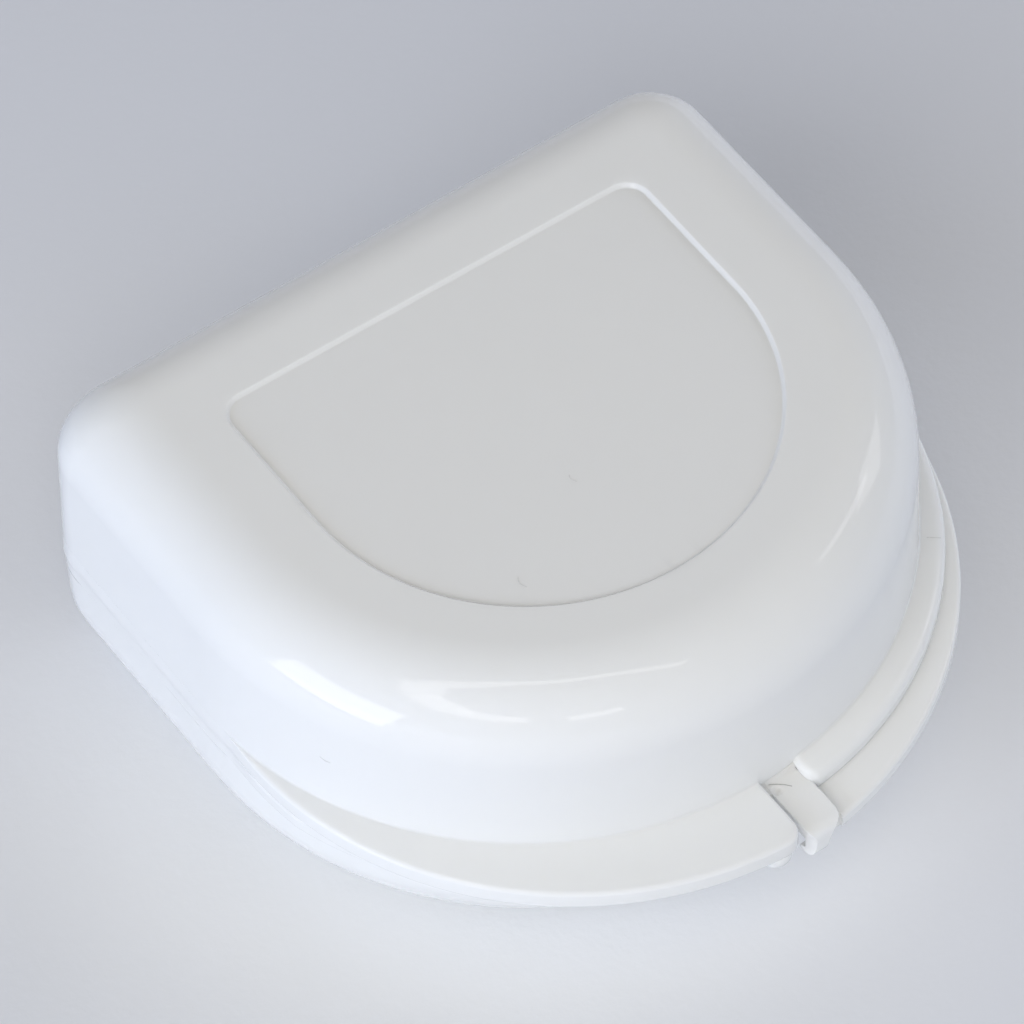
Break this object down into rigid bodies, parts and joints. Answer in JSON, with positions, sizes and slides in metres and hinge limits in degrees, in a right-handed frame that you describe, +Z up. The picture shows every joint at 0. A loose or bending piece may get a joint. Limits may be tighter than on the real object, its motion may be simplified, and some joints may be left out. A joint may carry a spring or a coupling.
{
  "type": "mouthguard case with mouthguard",
  "caption": "D-shaped clamshell case with a snap hinge at the rear, a flexing hook latch at the front and a boil-and-bite mouthguard inside.",
  "frame": {"origin": "on the bottom plane of the base, under the centre of the round front", "axes": "+Z up, -Y towards the latch at the round front, +Y towards the hinge, +X to the right seen from the front"},
  "size_m": [0.0818, 0.0853, 0.0384],
  "materials": {
    "case_plastic": "gloss",
    "guard_shell": "satin",
    "guard_liner": "satin"
  },
  "bodies": {
    "base": {"base": "case_plastic"},
    "lid": {"lid": "case_plastic"},
    "guard": {"guard_shell": "guard_shell", "guard_liner": "guard_liner"}
  },
  "joints": [
    {"name": "lid_hinge", "type": "hinge", "parent": "base", "child": "lid", "pos_m": [0, 0.03498, 0.0154], "axis": [-1, 0, 0], "range_deg": [0, 150]},
    {"name": "guard_lift", "type": "slide", "parent": "base", "child": "guard", "axis": [0, 0, 1], "range_m": [0, 0.014]}
  ]
}
